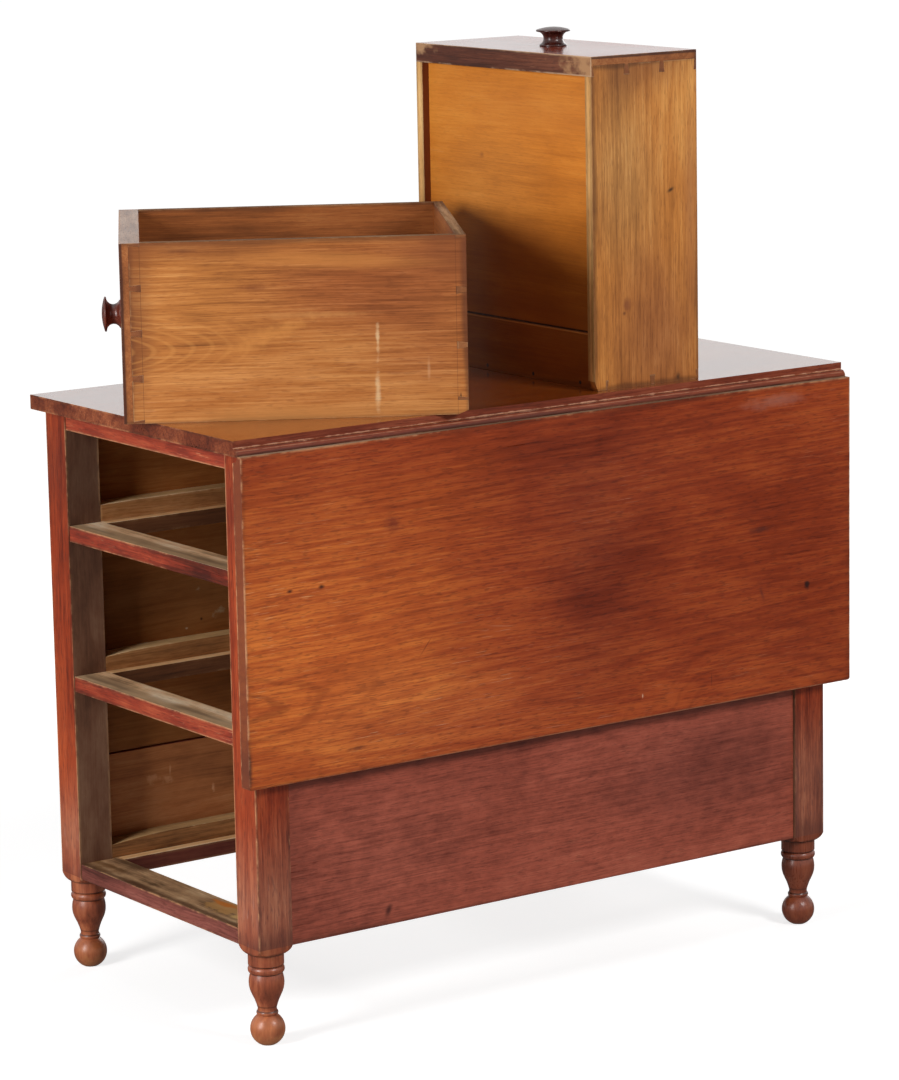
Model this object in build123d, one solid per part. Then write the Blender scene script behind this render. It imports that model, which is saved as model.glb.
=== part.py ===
from build123d import *
import math
import os

# Driving dimensions in millimetres.
# X runs along the long side from the drawer end, Y from the leaf side to the back side, Z up from the floor.

# Case
case_length = 855.0
case_width = 455.0
case_bottom = 119.0
bottom_bay_height = 219.0
middle_bay_height = 168.5
top_bay_height = 118.5
post_size = 46.0
panel_thickness = 16.0
panel_recess = 4.0
tongue_thickness = 8.0
tongue_length = 9.0
back_lower_board_width = 145.0
back_board_gap = 2.5
lap_thickness = 5.0
lap_depth = 6.0

# Rails across the drawer end
rail_thickness = 19.5
top_rail_thickness = 22.5
rail_recess = 1.0
bottom_rail_depth = 54.0
tenon_length = 22.0
tenon_width = 24.0
tenon_inset = 8.0
tenon_thickness = 10.0

# Drawer runners, guides, kickers and stops
runner_bearing = 14.0
guide_height = 22.0
guide_taper_length = 84.0
bottom_guide_drop = 5.0
middle_guide_drop = 3.6
top_guide_drop = 1.2
guide_taper_bow = 0.3
stop_length = 20.0
stop_height = 15.0
stop_clearance = 0.5

# Turned foot, heights from the floor
ball_radius = 20.8
ball_centre = 18.6
bead_root = 11.6
bead_radius = 13.0
bead_height = 5.4
neck_radius = 11.2
neck_height = 44.0
waist_radius = 17.5
waist_height = 61.0
belly_radius = 20.9
belly_height = 72.5
vase_top_radius = 18.9
vase_top_height = 87.0
ring_root = 19.4
ring_radius = 21.8
ring_height = 9.4
collar_groove = 1.2
collar_radius = 21.3
collar_top = 111.5
pommel_height = 11.0
pommel_bulge = 1.8

# Top board, drop leaf and the rule joint between them
top_thickness = 18.0
drawer_end_overhang = 19.0
closed_end_overhang = 28.0
back_overhang = 3.0
joint_fillet = 8.7
joint_radius = 7.9
cove_gap = 0.5
fillet_gap = 0.3
leaf_flush_drop = 0.3
leaf_to_post_gap = 1.2
leaf_width = 388.6
arris_round = 1.2
leaf_edge_round = 3.0
leaf_corner_round = 4.0

# Hinges
hinge_width = 38.0
hinge_inset = 118.0
plate_thickness = 1.4
top_plate_length = 30.0
leaf_plate_length = 44.0
knuckle_radius = 2.6
knuckle_gap = 0.3
pin_radius = 1.3
pin_clearance = 0.05
hinge_relief = 0.25

# Pull-out leaf supports
support_width = 40.0
support_height = 15.0
support_back_gap = 28.5
support_inset = 214.0
support_clearance = 0.5
finger_groove_radius = 5.0
finger_groove_inset = 16.0

# Drawers
drawer_length = 402.0
drawer_side_clearance = 1.25
drawer_height_clearance = 8.0
front_thickness = 24.0
side_thickness = 13.0
back_thickness = 12.0
bottom_thickness = 7.0
groove_height = 10.0
groove_depth = 6.0
rear_board_width = 68.0
bottom_seam = 0.4
front_lap = 11.0
pin_tip = 5.5
dovetail_slope = 1 / 8
front_pin_pitch = 53.0
back_pin_pitch = 62.0
heel_bevel_length = 12.0
heel_bevel_height = 5.0

# Knobs
knob_projection = 23.5
knob_rim_radius = 21.2
knob_rim_thickness = 2.6
knob_neck_radius = 12.0
knob_base_radius = 17.0
knob_base_height = 2.0
knob_crown = 3.2
knob_tenon_radius = 7.0
knob_tenon_clearance = 0.05

# Places of the two drawers that are set down on the top, from the drawer-end leaf-side corner of the case
deep_drawer_x = -50.0
deep_drawer_y = 183.0
deep_drawer_turn = -30.9
middle_drawer_x = 506.0
middle_drawer_y = 11.0
middle_drawer_turn = 0.4

# Levels and planes that follow from them
bottom_rail_top = case_bottom + rail_thickness
lower_rail_bottom = bottom_rail_top + bottom_bay_height
lower_rail_top = lower_rail_bottom + rail_thickness
upper_rail_bottom = lower_rail_top + middle_bay_height
upper_rail_top = upper_rail_bottom + rail_thickness
top_rail_bottom = upper_rail_top + top_bay_height
case_top = top_rail_bottom + top_rail_thickness
top_surface = case_top + top_thickness
panel_inner = panel_recess + panel_thickness
runner_inner = post_size + runner_bearing
end_panel_inner = case_length - panel_inner
pin_rise = top_thickness - joint_fillet - joint_radius
pin_y = -(leaf_to_post_gap + pin_rise)
pin_z = case_top + pin_rise
top_start = -drawer_end_overhang
top_end = case_length + closed_end_overhang
top_length = top_end - top_start
drawer_width = case_width - 2 * post_size - 2 * drawer_side_clearance

nodes = {}


def block(x_span, y_span, z_span):
    # Box between two planes on each axis.
    spans = (x_span, y_span, z_span)
    middle = [(low + high) / 2 for low, high in spans]
    return Pos(*middle) * Box(*[high - low for low, high in spans])


def across(shape):
    # The same piece on the other long side of the case.
    return mirror(shape, Plane.XZ.offset(-case_width / 2))


def endways(shape):
    # The same piece at the other end of the case.
    return mirror(shape, Plane.YZ.offset(case_length / 2))


def turned_post():
    # One turning: ball, bead, vase, ring, collar and pommel shoulder, cut from square stock.
    ball_base = math.sqrt(ball_radius**2 - ball_centre**2)
    bead_bottom = ball_centre + math.sqrt(ball_radius**2 - bead_root**2)
    bead_top = bead_bottom + bead_height
    ring_top = vase_top_height + ring_height
    corner_radius = post_size / math.sqrt(2) + 0.5
    shoulder_top = collar_top + pommel_height
    shoulder_middle = (collar_radius + corner_radius) / 2 + pommel_bulge
    ball = ThreePointArc((ball_base, 0), (ball_radius, ball_centre), (bead_root, bead_bottom))
    bead = ThreePointArc(
        (bead_root, bead_bottom), (bead_radius, bead_bottom + bead_height / 2), (bead_root, bead_top)
    )
    belly = ThreePointArc(
        (vase_top_radius, vase_top_height), (belly_radius, belly_height), (waist_radius, waist_height)
    )
    throat = TangentArc((waist_radius, waist_height), (neck_radius, neck_height), tangent=belly % 1)
    ring = ThreePointArc(
        (ring_root, vase_top_height), (ring_radius, vase_top_height + ring_height / 2), (ring_root, ring_top)
    )
    collar = Polyline(
        (ring_root, ring_top), (collar_radius, ring_top + collar_groove), (collar_radius, collar_top)
    )
    pommel = ThreePointArc(
        (collar_radius, collar_top),
        (shoulder_middle, collar_top + pommel_height / 2 - pommel_bulge),
        (corner_radius, shoulder_top),
    )
    outline = [
        Line((0, 0), (ball_base, 0)),
        ball,
        bead,
        Line((bead_root, bead_top), (neck_radius, neck_height)),
        throat,
        belly,
        Line((vase_top_radius, vase_top_height), (ring_root, vase_top_height)),
        ring,
        collar,
        pommel,
        Polyline((corner_radius, shoulder_top), (corner_radius, case_top), (0, case_top), (0, 0)),
    ]
    turning = revolve(Plane.XZ * make_face(outline), Axis.Z)
    half = post_size / 2
    stock = block((-half, half), (-half, half), (0, case_top))
    return Pos(half, half, 0) * (turning & stock)


def panel_board(length, z_low, z_high):
    # Board along X with a tongue at both ends, its outer face towards -Y.
    tongue_low = panel_recess + (panel_thickness - tongue_thickness) / 2
    board = block((post_size, length - post_size), (panel_recess, panel_inner), (z_low, z_high))
    tongue_reach = (post_size - tongue_length, length - post_size + tongue_length)
    return board + block(tongue_reach, (tongue_low, tongue_low + tongue_thickness), (z_low, z_high))


def cross_rail(depth, z_low, thickness):
    # Rail between the drawer-end posts with a tenon at both ends.
    z_middle = z_low + thickness / 2
    rail = block(
        (rail_recess, rail_recess + depth), (post_size, case_width - post_size), (z_low, z_low + thickness)
    )
    tenon = block(
        (tenon_inset, tenon_inset + tenon_width),
        (post_size - tenon_length, case_width - post_size + tenon_length),
        (z_middle - tenon_thickness / 2, z_middle + tenon_thickness / 2),
    )
    return rail + tenon


def guide_strip(z_low, drop):
    # Strip in line with the post's inner face, rounded off where the drawer enters.
    start = post_size
    end = case_length - post_size
    z_high = z_low + guide_height
    z_entry = z_high - drop
    taper_end = start + guide_taper_length
    rounding = ThreePointArc(
        (taper_end, z_high),
        ((start + taper_end) / 2, z_high - drop * guide_taper_bow),
        (start, z_entry),
    )
    straight = Polyline((start, z_entry), (start, z_low), (end, z_low), (end, z_high), (taper_end, z_high))
    side = make_face([rounding, straight])
    return extrude(Plane.XZ.offset(-post_size) * side, post_size - panel_inner)


def support_bar(x_middle):
    # Pull-out bar with a finger groove under its outer end.
    start = panel_recess + support_clearance
    end = case_width - panel_inner - support_back_gap
    z_high = case_top - support_clearance
    z_low = z_high - support_height
    half = support_width / 2
    bar = block((x_middle - half, x_middle + half), (start, end), (z_low, z_high))
    groove = Pos(x_middle, start + finger_groove_inset, z_low) * Rot(0, 90, 0)
    return bar - groove * Cylinder(finger_groove_radius, support_width)


def support_slot(x_middle):
    # Way for a pull-out bar through the panel and the kickers, open to the top board.
    half = support_width / 2 + support_clearance
    z_low = case_top - support_height - 2 * support_clearance
    return block((x_middle - half, x_middle + half), (0, case_width - panel_inner), (z_low, case_top))


def top_profile():
    # Section of the top: square fillet and ovolo on the leaf side, eased edge on the back side.
    upper = joint_radius + joint_fillet
    width = case_width + back_overhang - pin_y
    section = make_face(
        [
            Polyline(
                (0, joint_radius),
                (0, upper),
                (width, upper),
                (width, -pin_rise),
                (-joint_radius, -pin_rise),
            ),
            Line((-joint_radius, -pin_rise), (-joint_radius, 0)),
            CenterArc((0, 0), joint_radius, 90, 90),
        ]
    )
    back_corners = section.vertices().sort_by(Axis.X)[-2:]
    return fillet(back_corners, arris_round)


def leaf_profile():
    # Section of the leaf, measured outwards from the pin along its width and up through its thickness.
    cove = joint_radius + cove_gap
    upper = joint_radius + joint_fillet - leaf_flush_drop
    cove_start = math.sqrt(cove**2 - fillet_gap**2)
    cove_angle = math.degrees(math.atan2(cove_start, fillet_gap))
    section = make_face(
        [
            CenterArc((0, 0), cove, 0, cove_angle),
            Polyline(
                (fillet_gap, cove_start),
                (fillet_gap, upper),
                (leaf_width, upper),
                (leaf_width, -pin_rise),
                (cove, -pin_rise),
                (cove, 0),
            ),
        ]
    )
    outer_corners = section.vertices().sort_by(Axis.X)[-2:]
    return fillet(outer_corners, leaf_edge_round)


def leaf_outline():
    # Room the hanging leaf fills, with its two free corners rounded.
    leaf_z = (pin_z - leaf_width, top_surface)
    room = block((top_start, top_end), (pin_y - 2 * top_thickness, pin_y + 2 * top_thickness), leaf_z)
    free_corners = room.edges().filter_by(Axis.Y).group_by(Axis.Z)[0]
    return fillet(free_corners, leaf_corner_round)


def knuckle(start, length, radius):
    # Round barrel or bore along the pin.
    return Pos(start + length / 2, 0, 0) * Rot(0, 90, 0) * Cylinder(radius, length)


def hinge_top_half():
    # Plate let into the underside of the top, with the two outer knuckles.
    half = hinge_width / 2
    third = hinge_width / 3
    clear = knuckle_radius + hinge_relief
    plate_z = (-pin_rise, -pin_rise + plate_thickness)
    plate = block((-half, half), (clear, top_plate_length), plate_z)
    for start in (-half, half - third):
        plate += block((start, start + third), (0, clear), plate_z)
        plate += knuckle(start, third, knuckle_radius)
    return plate - knuckle(-half, hinge_width, pin_radius + pin_clearance)


def hinge_leaf_half():
    # Longer plate let into the leaf, with the middle knuckle, in the raised position.
    half = hinge_width / 2
    inner = hinge_width / 6 - knuckle_gap
    clear = knuckle_radius + hinge_relief
    plate_z = (-pin_rise, -pin_rise + plate_thickness)
    plate = block((-half, half), (-leaf_plate_length, -clear), plate_z)
    plate += block((-inner, inner), (-clear, 0), plate_z)
    plate += knuckle(-inner, 2 * inner, knuckle_radius)
    return plate - knuckle(-half, hinge_width, pin_radius + pin_clearance)


def hinge_pocket():
    # Room in the top for the barrel and for the leaf plate where it passes under the ovolo.
    half = hinge_width / 2 + hinge_relief
    clear = knuckle_radius + hinge_relief
    plate_z = (-pin_rise, -pin_rise + plate_thickness + hinge_relief)
    under_ovolo = block((-half, half), (-joint_radius - hinge_relief, clear), plate_z)
    return knuckle(-half, 2 * half, clear) + under_ovolo


def dovetail_pin(x_tip, x_base, z_middle):
    # Pin that narrows towards the end of the side board, as thick as that board.
    tip = pin_tip / 2
    base = tip + abs(x_base - x_tip) * dovetail_slope
    outline = Polyline(
        (x_tip, z_middle - tip),
        (x_base, z_middle - base),
        (x_base, z_middle + base),
        (x_tip, z_middle + tip),
        close=True,
    )
    return extrude(Plane.XZ * make_face(outline), -side_thickness)


def pin_heights(low, high, pitch):
    # Evenly spread pins with half a pin at both edges.
    count = max(2, round((high - low) / pitch))
    return [low + (high - low) * step / count for step in range(count + 1)]


def drawer_side(height, bottom):
    # Side with tails at both ends, the groove of the bottom and a bevelled heel.
    back_low = groove_height + bottom_thickness
    side = block((front_lap, drawer_length), (0, side_thickness), (0, height))
    for z_middle in pin_heights(0, height, front_pin_pitch):
        side -= dovetail_pin(front_lap, front_thickness, z_middle)
    above_bottom = block((0, drawer_length), (0, side_thickness), (back_low, height))
    for z_middle in pin_heights(back_low, height, back_pin_pitch):
        back_pin = dovetail_pin(drawer_length, drawer_length - back_thickness, z_middle)
        side -= back_pin & above_bottom
    heel = Polyline(
        (drawer_length, 0),
        (drawer_length, heel_bevel_height),
        (drawer_length - heel_bevel_length, 0),
        close=True,
    )
    side -= extrude(Plane.XZ * make_face(heel), -side_thickness)
    for board in bottom:
        side -= board
    return side


def turned_knob():
    # Mushroom knob with a domed cap, a hollow neck, a base ring and a tenon, its face towards +Z.
    rim_low = knob_projection - knob_crown - knob_rim_thickness
    rim_high = knob_projection - knob_crown
    lip = knob_rim_thickness / 2
    outline = [
        Polyline(
            (0, -front_thickness),
            (knob_tenon_radius, -front_thickness),
            (knob_tenon_radius, 0),
            (knob_base_radius, 0),
            (knob_base_radius, knob_base_height),
        ),
        ThreePointArc(
            (knob_base_radius, knob_base_height),
            (knob_neck_radius, (knob_base_height + rim_low) / 2),
            (knob_rim_radius - lip, rim_low),
        ),
        ThreePointArc(
            (knob_rim_radius - lip, rim_low),
            (knob_rim_radius, (rim_low + rim_high) / 2),
            (knob_rim_radius - lip, rim_high),
        ),
        TangentArc((0, knob_projection), (knob_rim_radius - lip, rim_high), tangent=(1, 0)),
        Line((0, knob_projection), (0, -front_thickness)),
    ]
    return revolve(Plane.XZ * make_face(outline), Axis.Z)


def make_drawer(name, height, place):
    # Drawer in its own frame, from the front face back, from one side across and up, then set in its place.
    bottom_y = (side_thickness - groove_depth, drawer_width - side_thickness + groove_depth)
    bottom_z = (groove_height, groove_height + bottom_thickness)
    seam_x = drawer_length - rear_board_width
    bottom_board = block((front_thickness - groove_depth, seam_x - bottom_seam), bottom_y, bottom_z)
    rear_board = block((seam_x, drawer_length), bottom_y, bottom_z)
    right_side = drawer_side(height, (bottom_board, rear_board))
    left_side = mirror(right_side, Plane.XZ.offset(-drawer_width / 2))
    knob_place = Pos(0, drawer_width / 2, height / 2) * Rot(0, -90, 0)
    knob_bore = Pos(0, 0, -front_thickness / 2)
    front = block((0, front_thickness), (0, drawer_width), (0, height))
    front = front - right_side - left_side - bottom_board
    front -= knob_place * knob_bore * Cylinder(knob_tenon_radius + knob_tenon_clearance, front_thickness)
    back_x = (drawer_length - back_thickness, drawer_length)
    back = block(back_x, (0, drawer_width), (groove_height + bottom_thickness, height))
    back = back - right_side - left_side
    pieces = {
        "front": front,
        "right_side": right_side,
        "left_side": left_side,
        "back": back,
        "bottom_board": bottom_board,
        "bottom_rear_board": rear_board,
        "knob": knob_place * turned_knob(),
    }
    for piece, shape in pieces.items():
        nodes[f"{name}_{piece}"] = place * shape


def make_case():
    # Panels and rails first, then the posts that they are let into.
    seam = case_bottom + back_lower_board_width
    leaf_panel = panel_board(case_length, case_bottom, case_top)
    for x_middle in support_places:
        leaf_panel -= support_slot(x_middle)
    lap_middle = panel_recess + panel_thickness / 2
    lap = block(
        (post_size, case_length - post_size),
        (lap_middle - lap_thickness / 2, lap_middle + lap_thickness / 2),
        (seam, seam + back_board_gap + lap_depth),
    )
    back_lower = across(panel_board(case_length, case_bottom, seam) + lap)
    back_upper = across(panel_board(case_length, seam + back_board_gap, case_top) - lap)
    end_panel = Pos(case_length, 0, 0) * Rot(0, 0, 90) * panel_board(case_width, case_bottom, case_top)
    rail_depth = post_size - rail_recess
    rails = {
        "top_rail": cross_rail(rail_depth, top_rail_bottom, top_rail_thickness),
        "upper_drawer_rail": cross_rail(rail_depth, upper_rail_bottom, rail_thickness),
        "lower_drawer_rail": cross_rail(rail_depth, lower_rail_bottom, rail_thickness),
        "bottom_rail": cross_rail(bottom_rail_depth, case_bottom, rail_thickness),
    }
    corner = turned_post()
    posts = {
        "drawer_end_leaf_side_post": corner,
        "drawer_end_back_side_post": across(corner),
        "closed_end_leaf_side_post": endways(corner),
        "closed_end_back_side_post": endways(across(corner)),
    }
    let_in = [leaf_panel, back_lower, back_upper, end_panel, *rails.values()]
    for name, post in posts.items():
        for piece in let_in:
            post -= piece
        nodes[name] = post
    nodes["leaf_side_panel"] = leaf_panel
    nodes["back_side_upper_board"] = back_upper
    nodes["back_side_lower_board"] = back_lower
    nodes["closed_end_panel"] = end_panel
    nodes.update(rails)


def make_drawer_ways():
    # A runner and a guide on both sides of each bay, a kicker over the top bay and the stops.
    bays = {
        "bottom_bay": (case_bottom, nodes["bottom_rail"], bottom_guide_drop),
        "middle_bay": (lower_rail_bottom, nodes["lower_drawer_rail"], middle_guide_drop),
        "top_bay": (upper_rail_bottom, nodes["upper_drawer_rail"], top_guide_drop),
    }
    square_posts = [block((0, post_size), (0, post_size), (0, case_top))]
    square_posts.append(endways(square_posts[0]))
    stops = []
    for bay, (z_low, rail, guide_drop) in bays.items():
        z_high = z_low + rail_thickness
        runner = block((post_size, end_panel_inner), (panel_inner, runner_inner), (z_low, z_high)) - rail
        for post in square_posts:
            runner -= post
        guide = guide_strip(z_high, guide_drop)
        stop_x = rail_recess + drawer_length + stop_clearance
        stop_z = (z_high, z_high + stop_height)
        stop = block((stop_x, stop_x + stop_length), (post_size, runner_inner), stop_z)
        nodes[f"{bay}_leaf_side_runner"] = runner
        nodes[f"{bay}_back_side_runner"] = across(runner)
        nodes[f"{bay}_leaf_side_guide"] = guide
        nodes[f"{bay}_back_side_guide"] = across(guide)
        stops += [stop, across(stop)]
    nodes["drawer_stop_blocks"] = Compound(stops)
    kicker = block((post_size, end_panel_inner), (panel_inner, runner_inner), (top_rail_bottom, case_top))
    kicker -= square_posts[1]
    back_kicker = across(kicker)
    for x_middle in support_places:
        kicker -= support_slot(x_middle)
        back_kicker -= support_slot(x_middle)
    nodes["leaf_side_kicker"] = kicker
    nodes["back_side_kicker"] = back_kicker


def make_top_and_leaf():
    # Top and leaf share the pin line of the rule joint, the leaf hangs from it.
    top_plane = Plane((top_start, pin_y, pin_z), x_dir=(0, 1, 0), z_dir=(1, 0, 0))
    leaf_plane = Plane((top_end, pin_y, pin_z), x_dir=(0, 0, -1), z_dir=(-1, 0, 0))
    top = extrude(top_plane * top_profile(), top_length)
    leaf = extrude(leaf_plane * leaf_profile(), top_length) & leaf_outline()
    pin = knuckle(-hinge_width / 2, hinge_width, pin_radius)
    hanging = Rot(90, 0, 0)
    top_plates = []
    leaf_plates = []
    pins = []
    for x_middle in (top_start + hinge_inset, (top_start + top_end) / 2, top_end - hinge_inset):
        place = Pos(x_middle, pin_y, pin_z)
        top_plates.append(place * hinge_top_half())
        leaf_plates.append(place * hanging * hinge_leaf_half())
        pins.append(place * pin)
        top -= place * hinge_pocket()
        top -= top_plates[-1]
        leaf -= leaf_plates[-1]
    nodes["top_board"] = top
    nodes["drop_leaf"] = leaf
    nodes["hinge_top_plates"] = Compound(top_plates)
    nodes["hinge_leaf_plates"] = Compound(leaf_plates)
    nodes["hinge_pins"] = Compound(pins)


support_places = (support_inset, case_length - support_inset)
make_case()
make_drawer_ways()
make_top_and_leaf()
nodes["drawer_end_leaf_support"] = support_bar(support_places[0])
nodes["closed_end_leaf_support"] = support_bar(support_places[1])
lying = Pos(deep_drawer_x, deep_drawer_y, top_surface) * Rot(0, 0, deep_drawer_turn)
make_drawer("deep_drawer", bottom_bay_height - drawer_height_clearance, lying)
upright = Pos(middle_drawer_x, middle_drawer_y, top_surface + drawer_length) * Rot(0, 0, middle_drawer_turn)
make_drawer("middle_drawer", middle_bay_height - drawer_height_clearance, upright * Rot(0, 90, 0))

# The origin lies on the floor under the middle of the whole piece.
whole = Compound([*nodes.values()]).bounding_box()
to_origin = Pos(-(whole.min.X + whole.max.X) / 2, -(whole.min.Y + whole.max.Y) / 2, -whole.min.Z)
os.makedirs("parts", exist_ok=True)
for name in nodes:
    nodes[name] = to_origin * nodes[name]
    export_step(nodes[name], f"parts/{name}.step")
print(len(nodes), "pieces, box", whole.size)
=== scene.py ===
import math
import random
import bpy
from mathutils import Matrix, Vector


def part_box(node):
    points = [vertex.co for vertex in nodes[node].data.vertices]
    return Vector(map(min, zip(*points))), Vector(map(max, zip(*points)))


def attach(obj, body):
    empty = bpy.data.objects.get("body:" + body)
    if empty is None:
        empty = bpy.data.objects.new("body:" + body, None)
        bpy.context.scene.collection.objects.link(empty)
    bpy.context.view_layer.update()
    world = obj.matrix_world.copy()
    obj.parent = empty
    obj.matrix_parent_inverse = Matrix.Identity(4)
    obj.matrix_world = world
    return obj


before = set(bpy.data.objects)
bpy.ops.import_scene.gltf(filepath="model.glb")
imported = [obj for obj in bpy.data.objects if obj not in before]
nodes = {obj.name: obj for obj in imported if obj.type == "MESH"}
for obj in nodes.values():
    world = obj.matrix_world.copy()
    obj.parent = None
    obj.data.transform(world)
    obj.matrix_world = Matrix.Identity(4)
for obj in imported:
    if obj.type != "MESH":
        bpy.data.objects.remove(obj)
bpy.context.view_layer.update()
scene = bpy.context.scene
scene.view_settings.view_transform = "Standard"
print("frame loaded,", len(nodes), "pieces")

# directions on the table
toDrawerEnd = (-1, 0, 0)
toClosedEnd = (1, 0, 0)
toLeaf = (0, -1, 0)
toBack = (0, 1, 0)
up = (0, 0, 1)
down = (0, 0, -1)


# colours and shader nodes

def display(red, green, blue):  # a colour as it shows on a screen, 0 to 255
    parts = [value / 255 for value in (red, green, blue)]
    return tuple(v / 12.92 if v < 0.04045 else ((v + 0.055) / 1.055) ** 2.4 for v in parts) + (1.0,)


def grey(level):
    return (level, level, level, 1)


def feed(tree, socket, value):
    if isinstance(value, bpy.types.NodeSocket):
        tree.links.new(value, socket)
    else:
        socket.default_value = value


def calc(tree, task, first, second=0.0, clamp=False):
    node = tree.nodes.new("ShaderNodeMath")
    node.operation = task
    node.use_clamp = clamp
    feed(tree, node.inputs[0], first)
    feed(tree, node.inputs[1], second)
    return node.outputs[0]


def swing(tree, value, amount, middle=0.5):  # a layer about its middle, times an amount
    return calc(tree, "MULTIPLY", calc(tree, "SUBTRACT", value, middle), amount)


def vectorCalc(tree, task, first, second):
    node = tree.nodes.new("ShaderNodeVectorMath")
    node.operation = task
    feed(tree, node.inputs[0], first)
    feed(tree, node.inputs[1], second)
    return node.outputs["Value" if task in ("DOT_PRODUCT", "LENGTH") else "Vector"]


def joined(tree, x, y, z):
    node = tree.nodes.new("ShaderNodeCombineXYZ")
    for socket, value in zip(node.inputs, (x, y, z)):
        feed(tree, socket, value)
    return node.outputs[0]


def parted(tree, place):
    node = tree.nodes.new("ShaderNodeSeparateXYZ")
    feed(tree, node.inputs[0], place)
    return node.outputs[0], node.outputs[1], node.outputs[2]


def noise(tree, place, scale, detail=2.0, rough=0.5, colour=False):
    node = tree.nodes.new("ShaderNodeTexNoise")
    feed(tree, node.inputs["Vector"], vectorCalc(tree, "MULTIPLY", place, scale))
    node.inputs["Scale"].default_value = 1.0
    node.inputs["Detail"].default_value = detail
    node.inputs["Roughness"].default_value = rough
    return node.outputs["Color" if colour else "Fac"]


def ease(tree, value, low, high, toLow=0.0, toHigh=1.0):
    node = tree.nodes.new("ShaderNodeMapRange")
    node.interpolation_type = "SMOOTHSTEP"
    for socket, part in zip(node.inputs[:5], (value, low, high, toLow, toHigh)):
        feed(tree, socket, part)
    return node.outputs[0]


def ramp(tree, value, stops):
    node = tree.nodes.new("ShaderNodeValToRGB")
    feed(tree, node.inputs[0], value)
    while len(node.color_ramp.elements) < len(stops):
        node.color_ramp.elements.new(0.5)
    for element, (place, colour) in zip(node.color_ramp.elements, stops):
        element.position = place
        element.color = colour
    return node.outputs[0]


def mixed(tree, amount, first, second, blend="MIX"):
    node = tree.nodes.new("ShaderNodeMix")
    node.data_type = "RGBA"
    node.blend_type = blend
    feed(tree, node.inputs[0], amount)
    feed(tree, node.inputs[6], first)  # inputs 6 and 7 and output 2 are the colours
    feed(tree, node.inputs[7], second)
    return node.outputs[2]


def addBump(tree, shader, height, strength, distance):
    bump = tree.nodes.new("ShaderNodeBump")
    bump.inputs["Strength"].default_value = strength
    bump.inputs["Distance"].default_value = distance
    tree.links.new(height, bump.inputs["Height"])
    tree.links.new(bump.outputs[0], shader.inputs["Normal"])


def freshMaterial(name):
    material = bpy.data.materials.new(name)
    material.use_nodes = True
    return material, material.node_tree, material.node_tree.nodes["Principled BSDF"]


# how a board lies: along its grain, across it, and through its thickness

def boardFrame(node, along, across):
    along = Vector(along).normalized()
    across = Vector(across).normalized()
    axes = (along, across, along.cross(across))
    corners = [vertex.co for vertex in nodes[node].data.vertices]
    low = [min(corner.dot(axis) for corner in corners) for axis in axes]
    high = [max(corner.dot(axis) for corner in corners) for axis in axes]
    return {"axes": axes, "low": low, "size": [top - base for base, top in zip(low, high)]}


def boardSpot(board, *steps):
    spot = Vector()
    for axis, base, step in zip(board["axes"], board["low"], steps):
        spot += axis * (base + step)
    return spot


def boardPlace(tree, board):
    spot = tree.nodes.new("ShaderNodeTexCoord").outputs["Object"]
    steps = [vectorCalc(tree, "DOT_PRODUCT", spot, axis) for axis in board["axes"]]
    return joined(tree, *[calc(tree, "SUBTRACT", step, base) for step, base in zip(steps, board["low"])])


def edgeDistance(tree, place, size):  # the middle one of the three gaps to the board's faces
    gaps = []
    for step, length in zip(parted(tree, place), size):
        gaps.append(calc(tree, "MINIMUM", step, calc(tree, "SUBTRACT", length, step)))
    lower = calc(tree, "MINIMUM", gaps[0], gaps[1])
    upper = calc(tree, "MAXIMUM", gaps[0], gaps[1])
    return calc(tree, "MAXIMUM", lower, calc(tree, "MINIMUM", upper, gaps[2]))


# marks on a board, in metres from its low corner

plainMark = {"plane": "xy", "turn": 0, "ragged": 1.2, "core": 0.0, "fine": False, "rings": 0}
tintFrom = 0.05  # half size from which a stain tints the wood and keeps its grain
ringLine = (0.22, 0.04)  # where a ring's line begins and is full
endless = 9.0  # half size of a mark that runs off the board


def mark(at, half, colour, strength, **more):
    return {**plainMark, "at": at, "half": half, "colour": colour, "strength": strength, **more}


def markDistance(tree, ways, one):
    first, second = one["plane"]
    dx = calc(tree, "SUBTRACT", ways[first], one["at"][0])
    dy = calc(tree, "SUBTRACT", ways[second], one["at"][1])
    if one["turn"]:
        cos = math.cos(math.radians(one["turn"]))
        sin = math.sin(math.radians(one["turn"]))
        u = calc(tree, "ADD", calc(tree, "MULTIPLY", dx, cos), calc(tree, "MULTIPLY", dy, sin))
        v = calc(tree, "SUBTRACT", calc(tree, "MULTIPLY", dy, cos), calc(tree, "MULTIPLY", dx, sin))
    else:
        u, v = dx, dy
    u = calc(tree, "DIVIDE", u, one["half"][0])
    v = calc(tree, "DIVIDE", v, one["half"][1])
    return vectorCalc(tree, "LENGTH", joined(tree, u, v, 0.0), (0, 0, 0))


def addMarks(tree, colour, place, layers, marks, base):
    ways = dict(zip("xyz", parted(tree, place)))
    for one in marks:
        ragged = swing(tree, layers["fleck" if one["fine"] else "cloud"], one["ragged"])
        far = calc(tree, "ADD", markDistance(tree, ways, one), ragged)
        amount = ease(tree, far, 1.0, one["core"], 0.0, one["strength"])
        if one["rings"]:  # growth rings that come to the surface as nested curves
            line = calc(tree, "FRACT", calc(tree, "MULTIPLY", far, one["rings"]))
            line = calc(tree, "ABSOLUTE", calc(tree, "SUBTRACT", line, 0.5))
            amount = calc(tree, "MULTIPLY", amount, ease(tree, line, *ringLine))
        stain = display(*one["colour"])
        if min(one["half"]) > tintFrom and not one["rings"]:
            ratio = [part / plain for part, plain in zip(stain, display(*base))]
            colour = mixed(tree, amount, colour, ratio, "MULTIPLY")
        else:
            colour = mixed(tree, amount, colour, stain)
    return colour


# wood

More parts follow.
